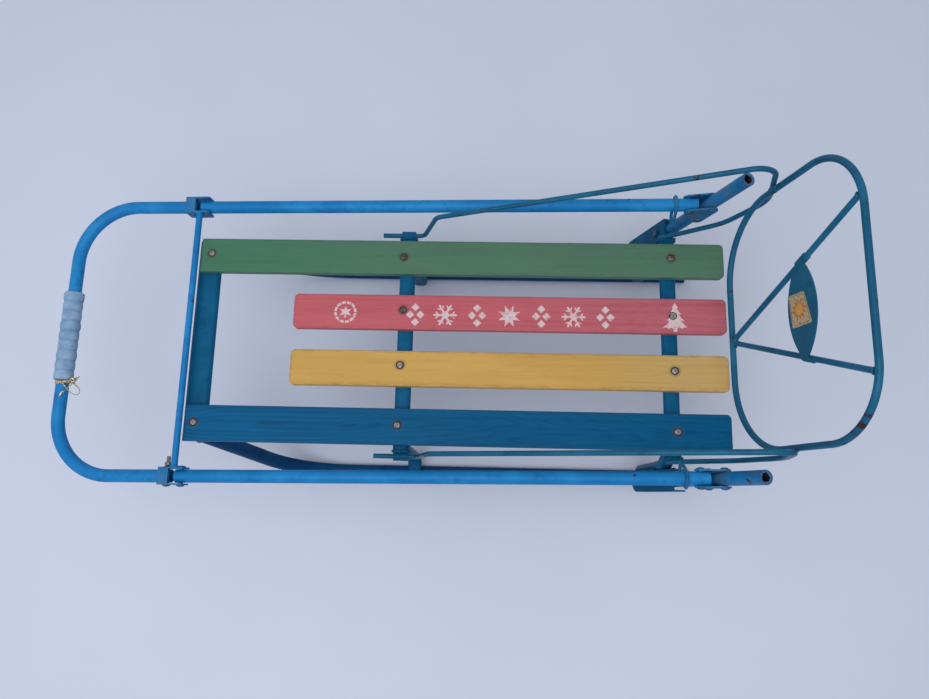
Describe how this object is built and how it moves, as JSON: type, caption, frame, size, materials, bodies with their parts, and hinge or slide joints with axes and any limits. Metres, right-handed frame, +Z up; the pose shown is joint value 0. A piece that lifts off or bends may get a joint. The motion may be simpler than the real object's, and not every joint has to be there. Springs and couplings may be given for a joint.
{
  "type": "child sled with backrest and folding push handle",
  "caption": "Child's push sled: painted wooden slats on a steel tube frame with curved runners, wire arm rods and backrest hoop, and a push handle folded forward.",
  "frame": {"origin": "on the ground under the middle of the sled's length and width", "axes": "+X forward in the direction of travel, +Y to the sled's left, +Z up; the runners stand on z = 0"},
  "size_m": [0.8901, 0.3766, 0.5088],
  "materials": {
    "frame_paint": "glossy teal enamel, brushed on, worn",
    "handle_paint": "satin blue powder coat",
    "green_wood": "green stain, satin",
    "red_wood": "red stain, satin",
    "yellow_wood": "yellow stain, worn edges",
    "blue_wood": "teal blue stain, satin",
    "foam": "pale blue soft foam",
    "rivet_steel": "painted over, chipped",
    "rusty_steel": "rusty"
  },
  "bodies": {
    "sled": {"arm_rod_left": "frame_paint", "arm_rod_right": "frame_paint", "arm_sleeve_left": "frame_paint", "arm_sleeve_right": "frame_paint", "backrest_hoop": "frame_paint", "backrest_plate": "frame_paint", "backrest_struts": "frame_paint", "front_crossbar": "frame_paint", "hinge_cheeks_left": "handle_paint", "hinge_cheeks_right": "handle_paint", "hinge_pin_left": "rivet_steel", "hinge_pin_right": "rivet_steel", "mid_crossbar": "frame_paint", "mid_leg_left": "frame_paint", "mid_leg_right": "frame_paint", "post_bolt_left": "rusty_steel", "post_bolt_right": "rusty_steel", "post_bracket_left": "frame_paint", "post_bracket_right": "frame_paint", "post_left": "handle_paint", "post_right": "handle_paint", "post_rivets_left": "rivet_steel", "post_rivets_right": "rivet_steel", "rear_crossbar": "frame_paint", "rear_leg_left": "frame_paint", "rear_leg_right": "frame_paint", "runner_left": "frame_paint", "runner_right": "frame_paint", "slat_inner_left": "yellow_wood", "slat_inner_right": "red_wood", "slat_outer_left": "blue_wood", "slat_outer_right": "green_wood"},
    "handle": {"handle_tube_left": "handle_paint", "handle_tube_right": "handle_paint", "lock_ring_left": "handle_paint", "lock_ring_right": "handle_paint"},
    "bow": {"bow_channel_left": "handle_paint", "bow_channel_right": "handle_paint", "bow_rivet_left": "rivet_steel", "bow_rivet_right": "rivet_steel", "bow_tube": "handle_paint", "cross_rod": "handle_paint", "fold_pin_left": "rivet_steel", "fold_pin_right": "rivet_steel", "grip": "foam"}
  },
  "joints": [
    {"name": "handle_fold", "type": "hinge", "parent": "sled", "child": "handle", "pos_m": [-0.3557, 0, 0.27], "axis": [0, -1, 0], "range_deg": [0, 112]},
    {"name": "bow_fold", "type": "hinge", "parent": "handle", "child": "bow", "pos_m": [0.2623, 0, 0.2235], "axis": [0, -1, 0], "range_deg": [0, 90]}
  ]
}
